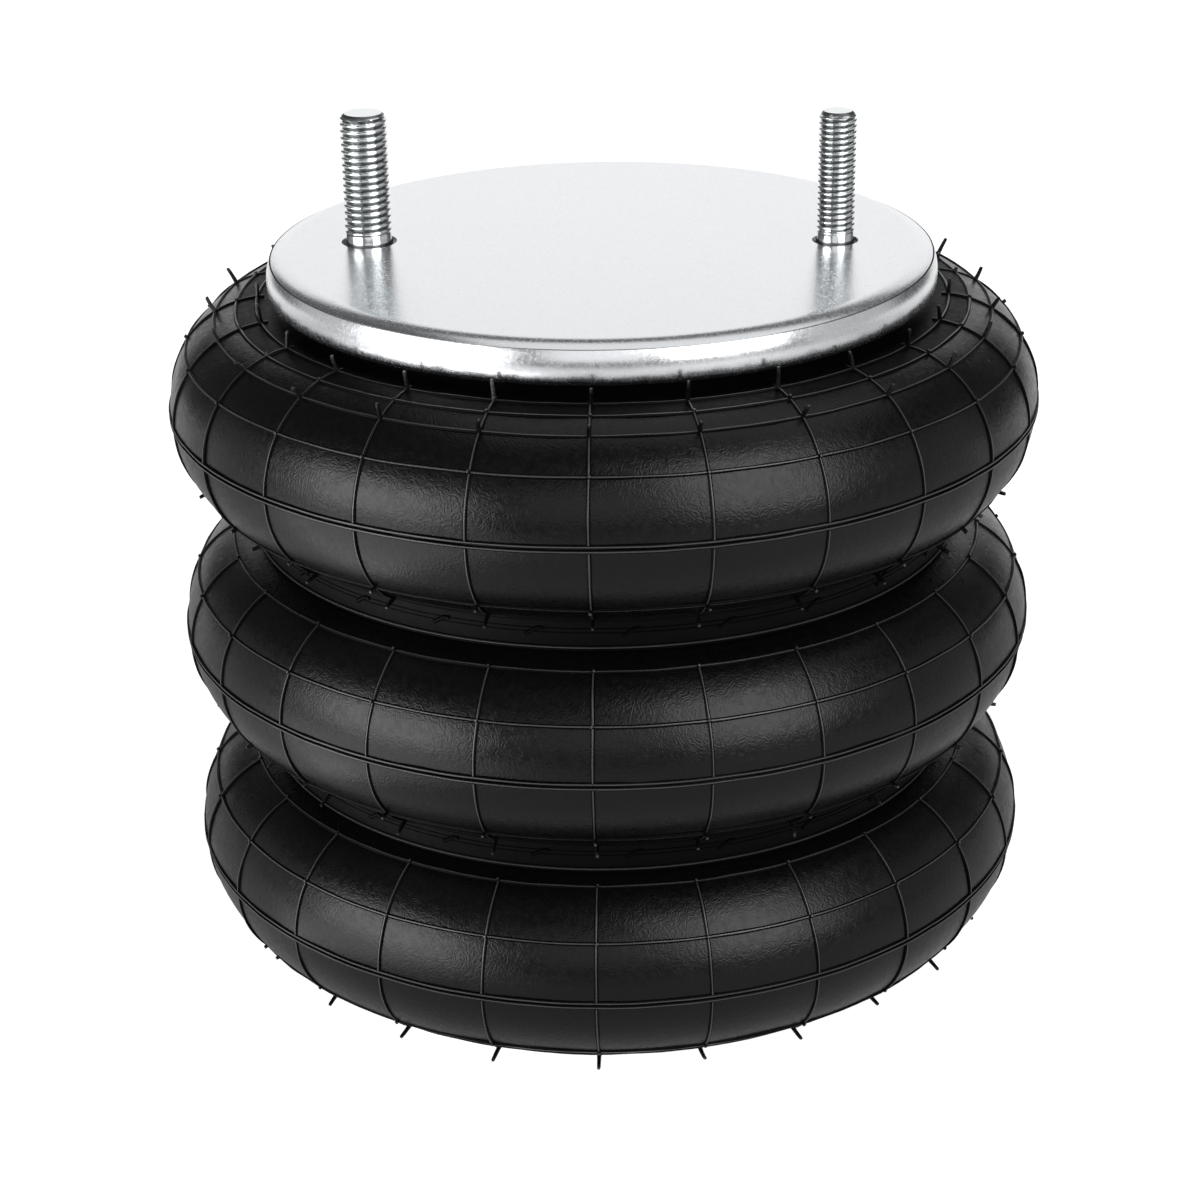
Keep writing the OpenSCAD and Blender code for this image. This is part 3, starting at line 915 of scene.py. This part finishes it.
# %% Finishes for the pieces that keep their solids
kept_finishes = {"left_blind_nut": fitting_steel, "right_blind_nut": fitting_steel,
                 "air_inlet_bush": fitting_steel, "lower_bead": bead_rubber,
                 "upper_bead": bead_rubber, "lower_bead_wire": bead_wire, "upper_bead_wire": bead_wire}
for node, material in kept_finishes.items():
    solid = frame["nodes"][node]
    solid.data.materials.clear()
    solid.data.materials.append(material)
print("finished in place:", sorted(kept_finishes))

# %% [markdown]
# ## Studio
# The photograph is a plain product shot on white: a pale sweep behind and below, and soft boxes
# round it. The sweep is one sheet that runs along the floor and up behind the object, wide on the
# floor and narrower where it stands. It shows as white to the camera, and its far part shows nearly
# white in the zinc that mirrors it, while it still takes the object's soft shadow. Beyond its edges
# the studio is nearly dark, which keeps the sides of the black rubber from turning grey.

# %% Pale paper
glow_from, glow_to = 0.2, 0.9


def pale_paper(name, tone, camera_glow, mirror_glow):
    """Paper that glows for the camera and in mirrors, by (near, far) amounts along Y."""
    material, nodes, links, shader, place = new_finish(name)
    tooth = add_noise(nodes, links, place, 300, detail=2)
    links.new(add_tones(nodes, links, tooth, [0.98 * tone] * 3, [1.02 * tone] * 3),
              shader.inputs["Base Color"])
    shader.inputs["Roughness"].default_value = 0.9
    shader.inputs["Specular IOR Level"].default_value = 0.1
    axes = nodes.new("ShaderNodeSeparateXYZ")
    links.new(place, axes.inputs["Vector"])
    path = nodes.new("ShaderNodeLightPath")
    total = None
    for ray, glow in [("Is Camera Ray", camera_glow), ("Is Glossy Ray", mirror_glow),
                      ("Is Transmission Ray", mirror_glow)]:
        rising = nodes.new("ShaderNodeMapRange")
        rising.inputs["From Min"].default_value = glow_from
        rising.inputs["From Max"].default_value = glow_to
        rising.inputs["To Min"].default_value, rising.inputs["To Max"].default_value = glow
        links.new(axes.outputs["Y"], rising.inputs["Value"])
        seen = nodes.new("ShaderNodeMath")
        seen.operation = "MULTIPLY"
        links.new(rising.outputs["Result"], seen.inputs[0])
        links.new(path.outputs[ray], seen.inputs[1])
        if total is None:
            total = seen
            continue
        both = nodes.new("ShaderNodeMath")
        links.new(total.outputs["Value"], both.inputs[0])
        links.new(seen.outputs["Value"], both.inputs[1])
        total = both
    shader.inputs["Emission Color"].default_value = (1, 1, 1, 1)
    links.new(total.outputs["Value"], shader.inputs["Emission Strength"])
    return material


print("paper is ready")

# %% [markdown]
# The sheet is drawn as a profile from front to back and widened to both sides. Its bend is a large
# arc, so that no line shows where the floor turns into the wall.

# %% Sweep of pale paper
floor_reach, wall_reach, wall_distance, wall_height, curve_r = 3.0, 1.1, 1.9, 1.5, 0.7
profile = [(-floor_reach, 0.0), (wall_distance - curve_r, 0.0)]
profile += arc((wall_distance - curve_r, curve_r), curve_r, -90, 0, 16)[1:]
profile += [(wall_distance, wall_height)]
reaches = [floor_reach if z == 0 else wall_reach for y, z in profile]
paper_points = [(side * reach, y, z) for (y, z), reach in zip(profile, reaches) for side in (-1, 1)]
paper_faces = [(2 * row, 2 * row + 1, 2 * row + 3, 2 * row + 2) for row in range(len(profile) - 1)]
paper_mesh = bpy.data.meshes.new("paper sweep")
paper_mesh.from_pydata(paper_points, [], paper_faces)
paper_mesh.polygons.foreach_set("use_smooth", [True] * len(paper_faces))
paper_mesh.materials.append(pale_paper("pale paper", 0.5, (0.85, 1.0), (0.18, 0.80)))
paper = bpy.data.objects.new("paper_sweep", paper_mesh)
bpy.context.scene.collection.objects.link(paper)
print("paper sweep reaches", wall_distance, "m behind the object")

# %% [markdown]
# Area lamps stand in for the soft boxes. A large one on each side of the camera gives the broad,
# soft-edged highlights that model the rubber, and a weak fill in front keeps the bulges from sinking
# into black. One overhead lights the plate's shoulder, weak wings to the left and right give the
# roll of the plate something to mirror, and a low card on the floor lifts the undersides on the
# left. The world adds a little even fill, and is white where a camera ray leaves the scene.


# %% Lamps and world
def soft_box(name, place, aim, width, height, watts):
    lamp = bpy.data.lights.new(name, "AREA")
    lamp.shape = "RECTANGLE"
    lamp.size, lamp.size_y = width, height
    lamp.energy = watts
    holder = bpy.data.objects.new(name, lamp)
    holder.location = place
    holder.rotation_euler = (Vector(aim) - Vector(place)).to_track_quat("-Z", "Y").to_euler()
    bpy.context.scene.collection.objects.link(holder)
    return holder


middle = (0, 0, face_z / 2)
soft_box("left soft box", (-1.13, -0.83, 0.40), middle, 1.1, 0.75, 17)
soft_box("right soft box", (0.80, -0.89, 0.87), middle, 0.9, 1.3, 17)
soft_box("front fill", (0.0, -1.45, 0.75), middle, 0.9, 0.9, 2.3)
soft_box("overhead soft box", (0.36, 0.32, 1.60), (0.36, 0.3, 0), 1.7, 1.05, 4.5)
soft_box("right wing", (1.5, 0.0, 0.45), middle, 1.2, 0.8, 1.2)
soft_box("left wing", (-1.5, 0.1, 0.33), middle, 1.2, 0.5, 0.7)
soft_box("low card", (-0.42, -0.34, 0.012), (-0.42, -0.3, 1), 0.5, 0.5, 1.5)

even_fill, camera_white = 0.10, 1.0
world = bpy.data.worlds.new("studio air")
world.use_nodes = True
world_nodes, world_links = world.node_tree.nodes, world.node_tree.links
fill = world_nodes["Background"]
fill.inputs["Color"].default_value = (1, 1, 1, 1)
rays = world_nodes.new("ShaderNodeLightPath")
brightness = world_nodes.new("ShaderNodeMapRange")
brightness.inputs["To Min"].default_value = even_fill
brightness.inputs["To Max"].default_value = camera_white
world_links.new(rays.outputs["Is Camera Ray"], brightness.inputs["Value"])
world_links.new(brightness.outputs["Result"], fill.inputs["Strength"])
bpy.context.scene.world = world
bpy.context.scene.view_settings.view_transform = "Standard"

# %% [markdown]
# ## Camera
# The photograph looks down at the plate at about twenty-four degrees from a little under a metre
# away, with the stud line turned about two and a half degrees from square. The camera's place,
# heading, pitch and roll were worked out from the outlines of the plate, studs and convolutions.

# %% Camera
camera_place = Vector((0.0359, -0.8451, 0.4936))
heading, pitch, roll = -0.0452, 0.4173, -0.0154
focal_px, frame_px = 2579, 1200

forward = Vector((math.sin(heading) * math.cos(pitch), math.cos(heading) * math.cos(pitch),
                  -math.sin(pitch)))
level_right = forward.cross(Vector((0, 0, 1))).normalized()
level_up = level_right.cross(forward)
right = math.cos(roll) * level_right + math.sin(roll) * level_up
up = math.cos(roll) * level_up - math.sin(roll) * level_right

sensor_width = 36
lens = bpy.data.cameras.new("photograph's view")
lens.sensor_width = sensor_width
lens.lens = sensor_width * focal_px / frame_px
lens.clip_start, lens.clip_end = 0.05, 50
camera = bpy.data.objects.new("camera", lens)
turn = Matrix((right, up, -forward)).transposed()
camera.matrix_world = Matrix.Translation(camera_place) @ turn.to_4x4()
bpy.context.scene.collection.objects.link(camera)
bpy.context.scene.camera = camera
print(f"lens {lens.lens:.1f} mm, {camera_place.length:.2f} m from the origin")
